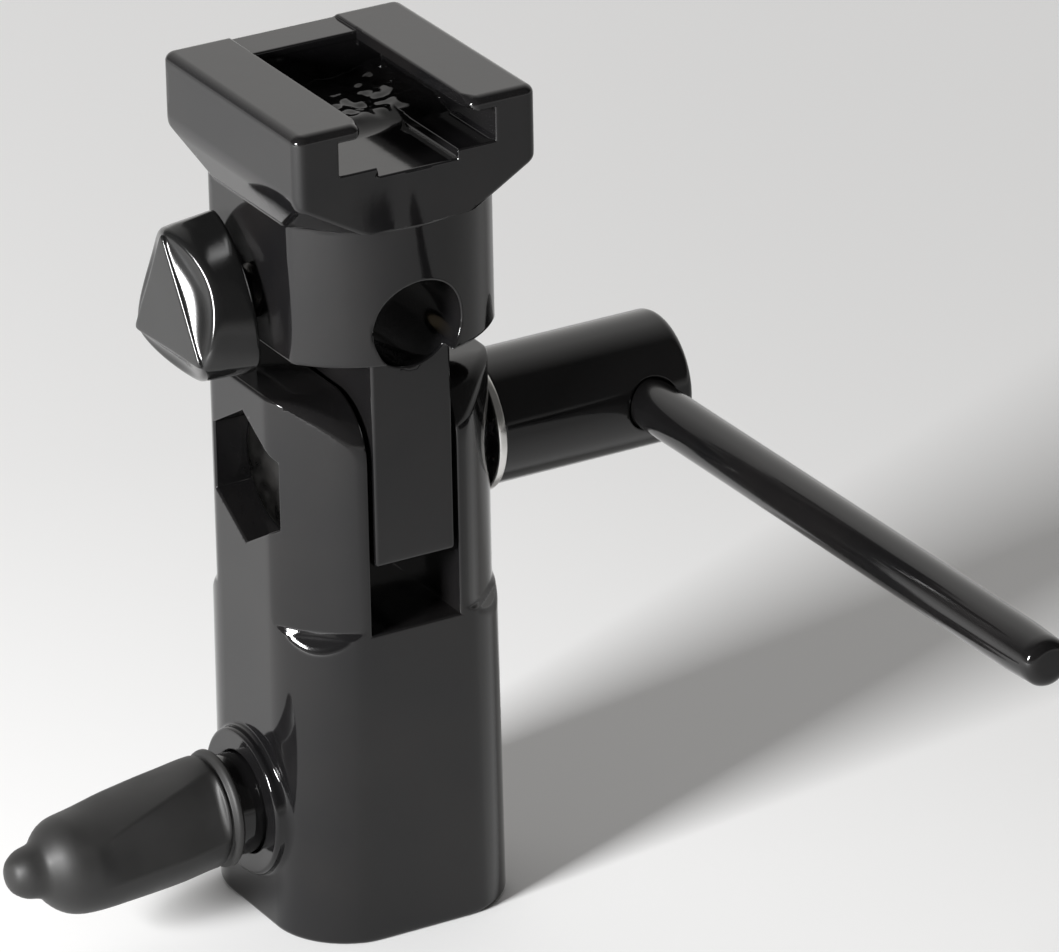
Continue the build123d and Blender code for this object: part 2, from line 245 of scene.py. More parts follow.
def smooth_curve(points, value):
    """Monotone cubic through (position, height) points in rising order of position."""
    spans = [(b[0] - a[0], (b[1] - a[1]) / (b[0] - a[0])) for a, b in zip(points, points[1:])]
    slopes = [spans[0][1]]
    for (_, before), (_, after) in zip(spans, spans[1:]):
        slopes.append(0 if before * after <= 0 else 2 * before * after / (before + after))
    slopes.append(spans[-1][1])
    value = min(max(value, points[0][0]), points[-1][0])
    for k, (width, _) in enumerate(spans):
        if value <= points[k + 1][0] or k == len(spans) - 1:
            t = (value - points[k][0]) / width
            low, high = points[k][1], points[k + 1][1]
            a, b = slopes[k] * width, slopes[k + 1] * width
            return (
                low * (2 * t ** 3 - 3 * t ** 2 + 1) + a * (t ** 3 - 2 * t ** 2 + t)
                + high * (3 * t ** 2 - 2 * t ** 3) + b * (t ** 3 - t ** 2)
            )


def middle(node):
    low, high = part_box(node)
    return (Vector(low) + Vector(high)) / 2


def box_mm(node):
    """A node's lowest and highest corners in millimetres."""
    low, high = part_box(node)
    return Vector(low) / MM, Vector(high) / MM


# ---------------------------------------------------------------- castings
# Each casting is a signed-distance field in millimetres, negative inside: its walls meet in small
# radii, as die-cast and enamelled edges do. OpenVDB polygonises it and the points are then drawn
# onto the exact surface, with the field's own gradient as their normals.
def meet(a, b, radius):
    """Intersection of two solids, with the edge between them rounded."""
    corner = np.sqrt(np.maximum(a + radius, 0) ** 2 + np.maximum(b + radius, 0) ** 2)
    return np.minimum(-radius, np.maximum(a, b)) + corner


def join(a, b, radius):
    """Union of two solids, with a fillet in the corner between them."""
    return -meet(-a, -b, radius)


def cut(a, b, radius):
    """Solid a with solid b taken out of it."""
    return meet(a, -b, radius)


def rounded_box(u, v, half_u, half_v, radius):
    """A rectangle with rounded corners in the plane of u and v."""
    du, dv = np.abs(u) - (half_u - radius), np.abs(v) - (half_v - radius)
    outside = np.sqrt(np.maximum(du, 0) ** 2 + np.maximum(dv, 0) ** 2)
    return outside + np.minimum(np.maximum(du, dv), 0) - radius


def cylinder(u, v, radius):
    return np.sqrt(u * u + v * v) - radius


def slab(u, low, high):
    return np.maximum(low - u, u - high)


def fade(value, start, end):
    """Smooth step from 0 at start to 1 at end."""
    t = np.clip((value - start) / (end - start), 0, 1)
    return t * t * (3 - 2 * t)


HINGE = middle("hinge_washer") / MM
UMBRELLA_SCREW = middle("umbrella_screw") / MM
STAND_SCREW = middle("stand_screw") / MM

# Edge radii, millimetres
BLOCK_EDGE = 1.0
FOOT_EDGE = 0.7
SOFT_EDGE = 0.5
RIM_EDGE = 0.45
NECK_EDGE = 0.4
FACET_EDGE = 0.35
SLOT_EDGE = 0.35
FINE_EDGE = 0.3
BORE_EDGE = 0.25
LIP_EDGE = 0.22
TIGHT_EDGE = 0.2

# Lower body, millimetres
FORK_FLOOR = 36.6         # floor of the slot between the cheeks
SLOT_HALF = 5.4
DRAFT = 0.25              # how far each face of the block leans out by its foot
BLOCK_CORNER = 8.75
CHEEK_MID = 20.0          # middle height of the outline that rounds the cheeks
CHEEK_ROUND = 7.0         # rounded top corners of the cheeks
CHEEK_CORNER = 6.5        # flat vertical corners of the cheeks
LEDGE_RUN = 0.9           # slope of the ledges below those flats
LEDGE_DROP = 1.45
LEDGE_EDGE = 0.32         # edge radius at the ledges, and how much it grows above them
CORNER_EDGE_GAIN = 0.9
BOSS_R = 8.3              # boss round the stand screw, with a counterbore for its collar
BOSS_ROOT = -11.0
COUNTERBORE_R = 5.73
COUNTERBORE_END = -11.8
STAND_HOLE_END = -4.8
SOCKET_R = 8.1            # socket for the stand's spigot
SOCKET_DEPTH = 33.0
HEX_HALF = 6.65           # recess for the bolt's head
HEX_END = -7.05
BOLT_HOLE_R = 4.2
BOLT_FIT_R = 4.06         # holes for the bolt and the M8 screw

# Swivel head, millimetres
SHOULDER_Z = 84.2         # lowest point of the shoe block
SIDE_Z = 88.8             # where its upright sides end
SIDE_SLOPE = (5.0, 2.1)   # normal of the facets below the sides, outwards and down
CORNER_SLOPE = (24.8, 21.2, 42.6)  # normal of the corner facets, sideways, endways and down
BLOCK_CORNER_R = 1.3
NECK_R = 15.3
NECK_FLAT = 12.3          # half the width across the neck's two flats
NECK_FOOT = 68.5
NECK_TOP = 90.0           # hidden inside the block
TANG_HALF_X = 4.8
TANG_HALF_Y = 13.2
TANG_CORNER = 0.6
TANG_MID = 60.0
TANG_TOP = 72.0           # hidden inside the neck
UMBRELLA_BORE_R = 5.25
UMBRELLA_HOLE_R = 3.06
SHOE_FLOOR = 91.5
SHOE_CEILING = 95.2
SHOE_HALF = 9.33          # half the width of the undercut
SHOE_BACK = 8.0           # where the slot ends
GAP_HALF = 6.4            # half the gap between the lips
GAP_REACH = 0.4           # how far the gap is cut down into the undercut
LEAD_IN_GAIN = 0.95       # how much rounder the lips get at the open end
NOTCH_DEPTH = 0.4         # step in the rear wall, as wide as the gap
GROOVE_DEPTH = 1.0
GROOVE_HALF = 4.85

# Lever hub, millimetres
HUB_BORE = 15.2           # depth of the bolt hole
HUB_END_EDGE = 1.0
ROD_LEAN = math.radians(0.6)
ROD_GAP = 0.12            # between the rod and its hole
ROD_SUNK = 4.0            # how far the rod goes past the bolt's axis


def body_field(x, y, z):
    low, high = box_mm("lower_body")
    half_x, half_y = high.x - DRAFT, high.y - DRAFT
    # drafted block; the corner radius shrinks with the draft
    draft = DRAFT * np.clip(1 - z / FORK_FLOOR, 0, 1)
    body = rounded_box(x, y, half_x + draft, half_y + draft, BLOCK_CORNER + draft)
    body = meet(body, -z, FOOT_EDGE)
    # cheeks: rounded top corners, then flat vertical corners that end in sloping ledges
    top = rounded_box(y, z - CHEEK_MID, half_y, high.z - CHEEK_MID, CHEEK_ROUND)
    body = meet(body, top, RIM_EDGE)
    diagonal = (np.abs(x) + np.abs(y)) / math.sqrt(2) - (half_x + half_y - CHEEK_CORNER) / math.sqrt(2)
    ledge = (z - FORK_FLOOR) * LEDGE_RUN + diagonal * LEDGE_DROP
    ledge = ledge / math.hypot(LEDGE_RUN, LEDGE_DROP)
    corner_edge = LEDGE_EDGE + CORNER_EDGE_GAIN * fade(z, FORK_FLOOR - 0.3, FORK_FLOOR + 0.6)
    body = meet(body, join(diagonal, ledge, BORE_EDGE), corner_edge)
    body = cut(body, np.maximum(np.abs(x) - SLOT_HALF, FORK_FLOOR - z), SLOT_EDGE)
    # boss round the thumb screw, with its counterbore and threaded hole
    around_screw = y - STAND_SCREW.y, z - STAND_SCREW.z
    boss = np.maximum(cylinder(*around_screw, BOSS_R), x - BOSS_ROOT)
    body = join(body, meet(boss, low.x - x, RIM_EDGE), SOFT_EDGE)
    body = cut(body, np.maximum(cylinder(*around_screw, COUNTERBORE_R), x - COUNTERBORE_END), FINE_EDGE)
    body = cut(body, np.maximum(cylinder(*around_screw, BOLT_FIT_R), x - STAND_HOLE_END), BORE_EDGE)
    # stand socket, hexagon recess and hinge holes
    body = cut(body, np.maximum(cylinder(x, y, SOCKET_R), z - SOCKET_DEPTH), SOFT_EDGE)
    across, up = y - HINGE.y, z - HINGE.z
    flats = np.maximum(np.abs(across), np.abs(up) * math.sqrt(0.75) + np.abs(across) * 0.5)
    body = cut(body, np.maximum(flats - HEX_HALF, x - HEX_END), FINE_EDGE)
    return cut(body, cylinder(across, up, BOLT_HOLE_R), BORE_EDGE)


def as_cast_skin(x, y):
    """Height of the rough skin on the floor of the shoe slot, behind the machined groove."""
    ripple = 0
    for k in range(14):
        turn, wave, phase = 2.4 * k, 1.1 + 0.23 * k, 1.7 * k
        along = x * math.cos(turn) + y * math.sin(turn)
        ripple = ripple + np.sin(wave * along + phase) / (1 + 0.12 * k)
    rough = fade(y, -5.5, -1.0) * fade(-np.abs(x - 1.0), -9.0, -5.0)
    swept_side = 1.15 * fade(x, 3.0, 9.3) * fade(y, -7.0, -3.0)
    return rough * (0.1 + 0.05 * ripple) + swept_side


def head_field(x, y, z):
    low, high = box_mm("swivel_head")
    depth, mid = (high.y - low.y) / 2, (high.y + low.y) / 2
    past_side, past_end = np.abs(x) - high.x, np.abs(y - mid) - depth
    # shoe block with sloping undersides
    block = rounded_box(x, y - mid, high.x, depth, BLOCK_CORNER_R)
    block = meet(block, z - high.z, BLOCK_EDGE)
    block = np.maximum(block, SHOULDER_Z - z)
    out, down = SIDE_SLOPE
    side = past_side * out - (z - SIDE_Z) * down
    block = meet(block, side / math.hypot(out, down), RIM_EDGE)
    out, along, down = CORNER_SLOPE
    corner = past_side * out + past_end * along - (z - SIDE_Z) * down
    block = meet(block, corner / math.hypot(out, along, down), FACET_EDGE)
    # neck with two flats, then the tang
    neck = meet(cylinder(x, y - low.y - NECK_R, NECK_R), np.abs(x) - NECK_FLAT, SOFT_EDGE)
    neck = np.maximum(neck, slab(z, NECK_FOOT, NECK_TOP))
    neck = meet(neck, NECK_FOOT - z, NECK_EDGE)
    head = join(block, neck, FACET_EDGE)
    tang = rounded_box(y - HINGE.y, z - TANG_MID, TANG_HALF_Y, TANG_MID - low.z, TANG_CORNER)
    tang = np.maximum(meet(tang, np.abs(x) - TANG_HALF_X, SLOT_EDGE), z - TANG_TOP)
    head = join(head, tang, BORE_EDGE)
    head = cut(head, cylinder(y - HINGE.y, z - HINGE.z, BOLT_FIT_R), BORE_EDGE)
    # umbrella bore from front to back, and its screw hole
    across, up = y - UMBRELLA_SCREW.y, z - UMBRELLA_SCREW.z
    head = cut(head, cylinder(x, up, UMBRELLA_BORE_R), FINE_EDGE)
    head = cut(head, np.maximum(cylinder(across, up, UMBRELLA_HOLE_R), x), TIGHT_EDGE)
    # accessory shoe: undercut slot, gap between the lips, groove and rear notch
    groove = GROOVE_DEPTH * fade(-y, 2.5, 6.0) * fade(-np.abs(x), -GROOVE_HALF, 0.15 - GROOVE_HALF)
    slot_floor = SHOE_FLOOR - groove + as_cast_skin(x, y)
    undercut = np.maximum(np.abs(x) - SHOE_HALF, slab(z, slot_floor, SHOE_CEILING))
    head = cut(head, np.maximum(undercut, y - SHOE_BACK), LIP_EDGE)
    lead_in = BORE_EDGE + LEAD_IN_GAIN * fade(-y, -low.y - 2.4, -low.y - 0.6)
    past_lip = np.abs(x) - GAP_HALF
    gap = np.maximum(past_lip, np.maximum(SHOE_CEILING - GAP_REACH - z, y - SHOE_BACK))
    head = cut(head, gap, lead_in)
    notch = np.maximum(high.z - NOTCH_DEPTH - z, SHOE_BACK - 1 - y)
    return cut(head, np.maximum(past_lip, notch), TIGHT_EDGE)


def hub_field(x, y, z):
    low, high = box_mm("lever_hub")
    rod_low, rod_high = box_mm("lever_rod")
    across, up = y - HINGE.y, z - HINGE.z
    hub = meet(cylinder(across, up, (high.z - low.z) / 2), x - high.x, HUB_END_EDGE)
    hub = meet(hub, low.x - x, FINE_EDGE)
    hub = cut(hub, np.maximum(cylinder(across, up, BOLT_FIT_R), x - low.x - HUB_BORE), BORE_EDGE)
    rod_x, rod_radius = (rod_low.x + rod_high.x) / 2, (rod_high.x - rod_low.x) / 2
    beside, above = x - rod_x, up * math.cos(ROD_LEAN) + across * math.sin(ROD_LEAN)
    rod_hole = np.maximum(cylinder(beside, above, rod_radius + ROD_GAP), across - ROD_SUNK)
    return cut(hub, rod_hole, FINE_EDGE)


def cast(node, name, body, material, field, voxel=0.16):
    """Polygonises a field over its CAD node's box and draws the points onto the exact surface."""
    low, high = box_mm(node)
    margin = 4 * voxel
    axes = [np.arange(low[i] - margin, high[i] + margin, voxel, dtype=np.float32) for i in range(3)]
    volume = field(axes[0][:, None, None], axes[1][None, :, None], axes[2][None, None, :])
    volume = np.broadcast_to(volume, [len(axis) for axis in axes])
    grid = openvdb.FloatGrid(3 * voxel)
    grid.copyFromArray(np.clip(volume, -3 * voxel, 3 * voxel).astype(np.float32))
    points, triangles, quads = grid.convertToPolygons(isovalue=0.0, adaptivity=0.004)
    points = points.astype(np.float64) * voxel + [axis[0] for axis in axes]
    step = 0.01
    for _ in range(3):
        x, y, z = points.T
        gradient = np.stack([
            field(x + step, y, z) - field(x - step, y, z),
            field(x, y + step, z) - field(x, y - step, z),
            field(x, y, z + step) - field(x, y, z - step),
        ], axis=1) / (2 * step)
        steepness = np.maximum((gradient ** 2).sum(axis=1), 0.25)
        shift = np.clip(field(x, y, z) / steepness, -voxel, voxel)
        points = points - gradient * shift[:, None]
    normals = gradient / np.maximum(np.linalg.norm(gradient, axis=1), 1e-6)[:, None]
    mesh = bpy.data.meshes.new(name)
    mesh.from_pydata((points * MM).tolist(), [], triangles.tolist() + quads.tolist())
    mesh.materials.append(material)
    mesh.shade_smooth()
    mesh.normals_split_custom_set_from_vertices(normals.tolist())
    piece = bpy.data.objects.new(name, mesh)
    scene.collection.objects.link(piece)
    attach(piece, body)
    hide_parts(node)
    return piece


cast("lower_body", "body_casting", "stand_body", PAINT, body_field)
cast("swivel_head", "head_casting", "head", PAINT, head_field)
cast("lever_hub", "lever_hub_turned", "clamp_lever", LEVER_PAINT, hub_field)


# ---------------------------------------------------------------- umbrella thumb knob
# Three-sided thumb knob, millimetres
KNOB_FACE_SIDE = 4.45     # middle of each side of the triangular face
KNOB_FACE_CORNER = 1.93   # radius of its corners, in KNOB_FACE_SIDE
KNOB_SIDE = 7.95          # middle of each bulging side of the outline
KNOB_CORNER = 9.25        # corners of the outline at the rim, and how much they grow by the base
KNOB_FLARE = 0.95
KNOB_DROP = 1.6           # depth of the rim below the face, greatest at the middle of each side
KNOB_TURN = math.radians(87.5)
KNOB_LIP = 0.4            # rounding of the face, the rim and the base
KNOB_RIM = 0.7
KNOB_FOOT = 0.6
KNOB_WELL_R = 4.7         # shallow well in the base, round the screw
KNOB_WELL_DEPTH = 0.3


def blend_radii(first, second, sharpness=40):
    """The smaller of two radii, with a small round where they cross."""
    return (first ** -sharpness + second ** -sharpness) ** (-1 / sharpness)


def side_angle(angle):
    """Angle from the middle of the nearest side of a three-cornered outline with a corner at 0."""
    return math.pi / 3 - abs((angle + math.pi / 3) % (math.tau / 3) - math.pi / 3)


def triangle_radius(angle, side):
    """Radius of the straight-sided triangular face, with slightly rounded corners."""
    return blend_radii(side / math.cos(side_angle(angle)), side * KNOB_FACE_CORNER)


def lobed_radius(angle, corner, side):
    """Radius of a three-cornered outline with bulging sides and rounded corners."""
    half_chord = corner * math.sin(math.pi / 3)
    rise = side - corner / 2
    arc = (half_chord ** 2 + rise ** 2) / (2 * rise)
    centre = side - arc
    off = side_angle(angle)
    bulge = centre * math.cos(off) + math.sqrt(arc ** 2 - (centre * math.sin(off)) ** 2)
    return blend_radii(bulge, corner * 0.985)


def umbrella_knob():
    low, high = box_mm("umbrella_knob")
    screw = middle("umbrella_screw")
    face, base = low.x, high.x
    lip, edge, foot = KNOB_LIP, KNOB_RIM, KNOB_FOOT
    brow = face + 0.7 * lip
    segments = 180
    turns = [math.tau * i / segments for i in range(segments)]
    bm = bmesh.new()
    rings = [polar_ring(bm, screw, [(face * MM, 0, 0)])]

    def ring(place):
        """Adds a ring whose x and radius come from place(angle)."""
        points = [(place(a), a) for a in turns]
        rings.append(polar_ring(bm, screw, [(x * MM, r * MM, a + KNOB_TURN) for (x, r), a in points]))

    def rim(angle):
        return brow + 0.1 + KNOB_DROP * (0.5 - 0.5 * math.cos(3 * angle)) ** 0.6

    def outline(angle, x):
        grown = KNOB_CORNER + KNOB_FLARE * (x - face) / (base - face)
        return lobed_radius(angle, grown, KNOB_SIDE)

    def quarter(steps=4):
        return [math.radians(90 * k / steps) for k in range(1, steps + 1)]

    def face_edge(angle):
        return triangle_radius(angle, KNOB_FACE_SIDE)

    for part in (0.3, 0.6, 0.8, 0.87):
        ring(lambda a: (face, face_edge(a) * part))
    for t in [0] + quarter():
        ring(lambda a: (
            face + (brow - face) * (1 - math.cos(t)),
            face_edge(a) - lip * (1 - math.sin(t)),
        ))
    steps = 10
    for k in range(1, steps + 1):
        t = k / steps
        fall = 1 - (1 - t) ** 1.9
        ring(lambda a: (
            brow + (rim(a) - brow) * fall,
            face_edge(a) * (1 - t) + (outline(a, rim(a)) - edge) * t,
        ))
    for t in quarter():
        ring(lambda a: (rim(a) + edge * (1 - math.cos(t)), outline(a, rim(a)) - edge * (1 - math.sin(t))))
    for k in range(1, 7):
        t = k / 6
        ring(lambda a: (
            (rim(a) + edge) * (1 - t) + (base - foot) * t,
            outline(a, (rim(a) + edge) * (1 - t) + (base - foot) * t),
        ))
    for t in quarter():
        ring(lambda a: (base - foot * (1 - math.sin(t)), outline(a, base) - foot * (1 - math.cos(t))))
    ring(lambda a: (base, KNOB_WELL_R + KNOB_WELL_DEPTH))
    ring(lambda a: (base - KNOB_WELL_DEPTH, KNOB_WELL_R))
    rings.append(polar_ring(bm, screw, [((base - KNOB_WELL_DEPTH) * MM, 0, 0)]))
    join_rings(bm, rings)
    body, slot = "umbrella_thumb_screw", "knob_gloss"
    add_piece("umbrella_thumb_grip", bm, body, KNOB_PLASTIC, "umbrella_knob")


# ---------------------------------------------------------------- stand thumb knob
# Stand grip, as (x, value) pairs in millimetres: its radius from nub to flange, and how far its
# middle sags off the screw's axis. The tapers are the share of each dish's depth reached at x.
GRIP_OUTLINE = (
    (-43.7, 0.0), (-43.4, 1.45), (-42.8, 2.15), (-41.8, 2.72), (-40.6, 3.0), (-40.0, 3.25), (-39.3, 4.0),
    (-38.4, 4.8), (-37.2, 5.38), (-35.5, 5.7), (-30.0, 6.15), (-24.0, 6.33), (-19.6, 6.28), (-19.1, 6.05),
    (-18.8, 5.8), (-18.5, 6.3), (-18.3, 6.52), (-18.0, 6.6), (-17.9, 6.6), (-17.6, 6.3),
)
GRIP_DROP = (
    (-44.0, 1.5), (-40.0, 1.5), (-36.0, 1.68), (-30.0, 1.12), (-24.0, 0.52), (-19.0, 0.0), (-17.0, 0.0),
)
SCOOP_DEPTH = 1.35
SCOOP_TAPER = ((-35.0, 0.0), (-32.5, 0.55), (-29.0, 0.9), (-22.0, 1.0), (-19.6, 0.9), (-19.2, 0.0))
SIDE_DISH_DEPTH = 0.55
SIDE_DISH_TAPER = ((-37.0, 0.0), (-35.0, 0.6), (-31.0, 1.0), (-24.0, 0.7), (-20.5, 0.0))
GRIP_SAG_TURN = math.radians(242.5)
GRIP_STEP = 0.4           # longest space between rings
# Where the dishes meet round the axis, in degrees from +Y: the ridge between them twists towards
# the nub
SIDE_DISH_EDGE = 66
SCOOP_EDGE = 191
RIDGE_TURN = 112
RIDGE_TWIST = 24
RIDGE_START = -20         # x where the twist starts, its length, and where it stops
RIDGE_LENGTH = 11.5
RIDGE_REACH = 13


def hollow(position, centre, half_width):
    """A dish from 1 at its centre to 0 at its edges."""
    u = (position - centre) / half_width
    return max(0.0, 1 - u * u)


def stand_knob():
    screw = middle("stand_screw")
    sag = Vector((0, math.cos(GRIP_SAG_TURN), math.sin(GRIP_SAG_TURN)))
    segments = 200
    turns = [math.tau * i / segments for i in range(segments)]

    def scoops(x, angle):
        """Thumb scoops in pairs on opposite sides, each with a narrower dish beside it."""
        degrees = math.degrees(angle) % 180
        twist = min(max(RIDGE_START - x, 0), RIDGE_REACH) / RIDGE_LENGTH
        ridge = RIDGE_TURN + RIDGE_TWIST * twist
        turned = degrees if degrees > 60 else degrees + 180
        scoop = hollow(turned, (ridge + SCOOP_EDGE) / 2, (SCOOP_EDGE - ridge) / 2)
        side_dish = hollow(degrees, (ridge + SIDE_DISH_EDGE) / 2, (ridge - SIDE_DISH_EDGE) / 2)
        scoop *= SCOOP_DEPTH * smooth_curve(SCOOP_TAPER, x)
        return scoop + SIDE_DISH_DEPTH * smooth_curve(SIDE_DISH_TAPER, x) * side_dish

    stations = []
    for (start, _), (end, _) in zip(GRIP_OUTLINE, GRIP_OUTLINE[1:]):
        steps = max(2, round((end - start) / GRIP_STEP))
        stations += [start + (end - start) * k / steps for k in range(steps)]
    bm = bmesh.new()
    rings = []
    for x in stations + [GRIP_OUTLINE[-1][0]]:
        drop = smooth_curve(GRIP_DROP, x)
        centre = screw + sag * drop * MM
        radius = smooth_curve(GRIP_OUTLINE, x)
        if radius < 0.01:
            rings.append(polar_ring(bm, centre, [(x * MM, 0, 0)]))
            continue
        rings.append(polar_ring(bm, centre, [(x * MM, (radius - scoops(x, a)) * MM, a) for a in turns]))
    rings.append(polar_ring(bm, screw, [(GRIP_OUTLINE[-1][0] * MM, 0, 0)]))
    join_rings(bm, rings)
    add_piece("stand_thumb_grip", bm, "stand_thumb_screw", SOFT_PLASTIC, "stand_knob")


# ---------------------------------------------------------------- screws, pads, washers
def threaded_screw(node, name, body, pitch):
    """A metric external thread between the ends of a CAD screw."""
    low, high = box_mm(node)
    centre = middle(node)
    major = (high.y - low.y) / 2
    depth = 0.613 * pitch
    segments, steps_per_turn = 48, 8
    steps = round((high.x - low.x) / pitch * steps_per_turn)
    bm = bmesh.new()
    rings = [polar_ring(bm, centre, [(low.x * MM, 0, 0)])]
    for k in range(steps + 1):
        x = low.x + (high.x - low.x) * k / steps
        ends = min(x - low.x, high.x - x)
        points = []
        for i in range(segments):
            angle = math.tau * i / segments
            phase = (x / pitch - angle / math.tau) % 1
            # a ridge of straight flanks, flat at its root and crest
            ridge = min(1, max(0, (0.5 - abs(phase - 0.5)) * 2.3 - 0.08))
            radius = major - depth * (1 - ridge)
            points.append((x * MM, min(radius, major - depth + ends) * MM, angle))
        rings.append(polar_ring(bm, centre, points))
    rings.append(polar_ring(bm, centre, [(high.x * MM, 0, 0)]))
    join_rings(bm, rings)
    piece = add_piece(name, bm, body, SCREW_STEEL, node)
    piece.data.set_sharp_from_angle(angle=SMOOTH_BELOW)


def turned_disc(node, name, body, material, edge, hole=0.0):
    """A round pad or washer with softened edges, about the middle of its CAD node."""
    low, high = box_mm(node)
    outer = (high.z - low.z) / 2
    bm = bmesh.new()
    if hole:
        corners = [(low.x, hole), (low.x, outer), (high.x, outer), (high.x, hole)]
        lathe(bm, rounded(corners, edge, closed=True), middle(node), closed=True)
    else:
        corners = [(low.x, 0), (low.x, outer), (high.x, outer), (high.x, 0)]
        lathe(bm, rounded(corners, edge), middle(node))
    add_piece(name, bm, body, material, node)


# Lever rod and hinge bolt, millimetres
ROD_TAPER = ((9.0, 0.0), (5.0, 0.03), (1.9, 0.16))  # (distance from the tip, how much thinner)
ROD_TIP_EDGE = 1.45
BOLT_SHANK_R = 4.0
BOLT_HEAD = 2.8
BOLT_END_CHAMFER = 0.6
BOLT_CROWN = 0.93         # radius of the head's flat crown, in half widths across its flats


def lever_rod():
    """The handle: a plain bar with a slightly eased, rounded tip, leaning a little above level."""
    low, high = box_mm("lever_rod")
    radius = (high.x - low.x) / 2
    length = (high.y - low.y) / math.cos(ROD_LEAN)
    along = Vector((0, -math.cos(ROD_LEAN), math.sin(ROD_LEAN)))
    start = Vector(((low.x + high.x) / 2, high.y, low.z + radius)) * MM
    profile = [(0, 0), (0, radius)]
    profile += [(length - reach, radius - thinner) for reach, thinner in ROD_TAPER]
    shoulder = profile[-1][1]
    for k in range(1, 7):
        t = math.radians(15 * k)
        reach = ROD_TIP_EDGE * 0.9 * (1 - math.sin(t))
        profile.append((length - reach, shoulder - ROD_TIP_EDGE * (1 - math.cos(t))))
    profile.append((length, 0))
    segments = 64
    turns = [math.tau * i / segments for i in range(segments)]
    side = Vector((1, 0, 0))
    up = along.cross(side)
    bm = bmesh.new()
    rings = []
    for reach, r in profile:
        place = start + along * reach * MM
        if r <= 0:
            rings.append([bm.verts.new(place)])
            continue
        spokes = [side * math.cos(a) + up * math.sin(a) for a in turns]
        rings.append([bm.verts.new(place + spoke * r * MM) for spoke in spokes])
    join_rings(bm, rings)
    piece = add_piece("lever_handle", bm, "clamp_lever", LEVER_PAINT, "lever_rod")
    piece.data.set_sharp_from_angle(angle=SMOOTH_BELOW)


def hinge_bolt():
    """Hexagon bolt: chamfered head in the recess, shank through the clevis."""
    low, high = box_mm("hinge_bolt")
    centre = middle("hinge_bolt")
    half_flats = (high.y - low.y) / 2
    segments = 120
    turns = [math.tau * i / segments for i in range(segments)]

    def hexagon(angle):
        turn = (angle + math.pi / 6) % (math.pi / 3) - math.pi / 6
        return half_flats / math.cos(turn)

    crown = half_flats * BOLT_CROWN
    slope = math.tan(math.radians(30))
    head_end = low.x + BOLT_HEAD
    bm = bmesh.new()
    rings = [polar_ring(bm, centre, [(low.x * MM, 0, 0)])]

    def ring(place):
        """Adds a ring whose x and radius come from place(angle)."""
        points = [(place(a), a) for a in turns]
        rings.append(polar_ring(bm, centre, [(x * MM, r * MM, a) for (x, r), a in points]))

    ring(lambda a: (low.x, crown * 0.96))
    ring(lambda a: (low.x + 0.05, crown))
    ring(lambda a: (low.x + slope * (hexagon(a) - crown), hexagon(a)))
    ring(lambda a: (head_end, hexagon(a)))
    ring(lambda a: (head_end, BOLT_SHANK_R + 0.3))
    ring(lambda a: (head_end + 0.3, BOLT_SHANK_R))
    ring(lambda a: (high.x - BOLT_END_CHAMFER, BOLT_SHANK_R))
    ring(lambda a: (high.x, BOLT_SHANK_R - BOLT_END_CHAMFER))
    rings.append(polar_ring(bm, centre, [(high.x * MM, 0, 0)]))
    join_rings(bm, rings)
    piece = add_piece("hinge_bolt_turned", bm, "stand_body", BLACK_STEEL, "hinge_bolt")
    piece.data.set_sharp_from_angle(angle=math.radians(28))


umbrella_knob()
stand_knob()
threaded_screw("umbrella_screw", "umbrella_screw_thread", "umbrella_thumb_screw", 1.0)
threaded_screw("stand_screw", "stand_screw_thread", "stand_thumb_screw", 1.25)
turned_disc("umbrella_pad", "umbrella_pad_turned", "umbrella_thumb_screw", BRASS, 0.35)
turned_disc("stand_pad", "stand_pad_turned", "stand_thumb_screw", BRASS, 0.4)
turned_disc("stand_collar", "stand_collar_turned", "stand_thumb_screw", PAINT, 0.45, 4.0)
turned_disc("hinge_washer", "hinge_washer_turned", "stand_body", STEEL, 0.3, 4.2)
lever_rod()
hinge_bolt()
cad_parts["friction_discs"].data.materials.clear()
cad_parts["friction_discs"].data.materials.append(FIBRE)


# ---------------------------------------------------------------- stage
def aim_at(obj, place, target):
    obj.location = place
    obj.rotation_mode = "QUATERNION"
    obj.rotation_quaternion = (Vector(target) - Vector(place)).to_track_quat("-Z", "Y")


def direction(azimuth, elevation):
    """Unit vector from the object towards a point round it; azimuth 0 is -Y and 90 is +X."""
    a, e = math.radians(azimuth), math.radians(elevation)
    return Vector((math.sin(a) * math.cos(e), -math.cos(a) * math.cos(e), math.sin(e)))


def soft_light(name, azimuth, elevation, reach, size, power):
    """A square area light aimed at the middle of the bracket."""
    data = bpy.data.lights.new(name, "AREA")
    data.shape = "RECTANGLE"
    data.size, data.size_y = size, size
    data.energy = power
    light = bpy.data.objects.new(name, data)
    scene.collection.objects.link(light)
    target = Vector((0, 0, 0.05))
    aim_at(light, target + direction(azimuth, elevation) * reach, target)


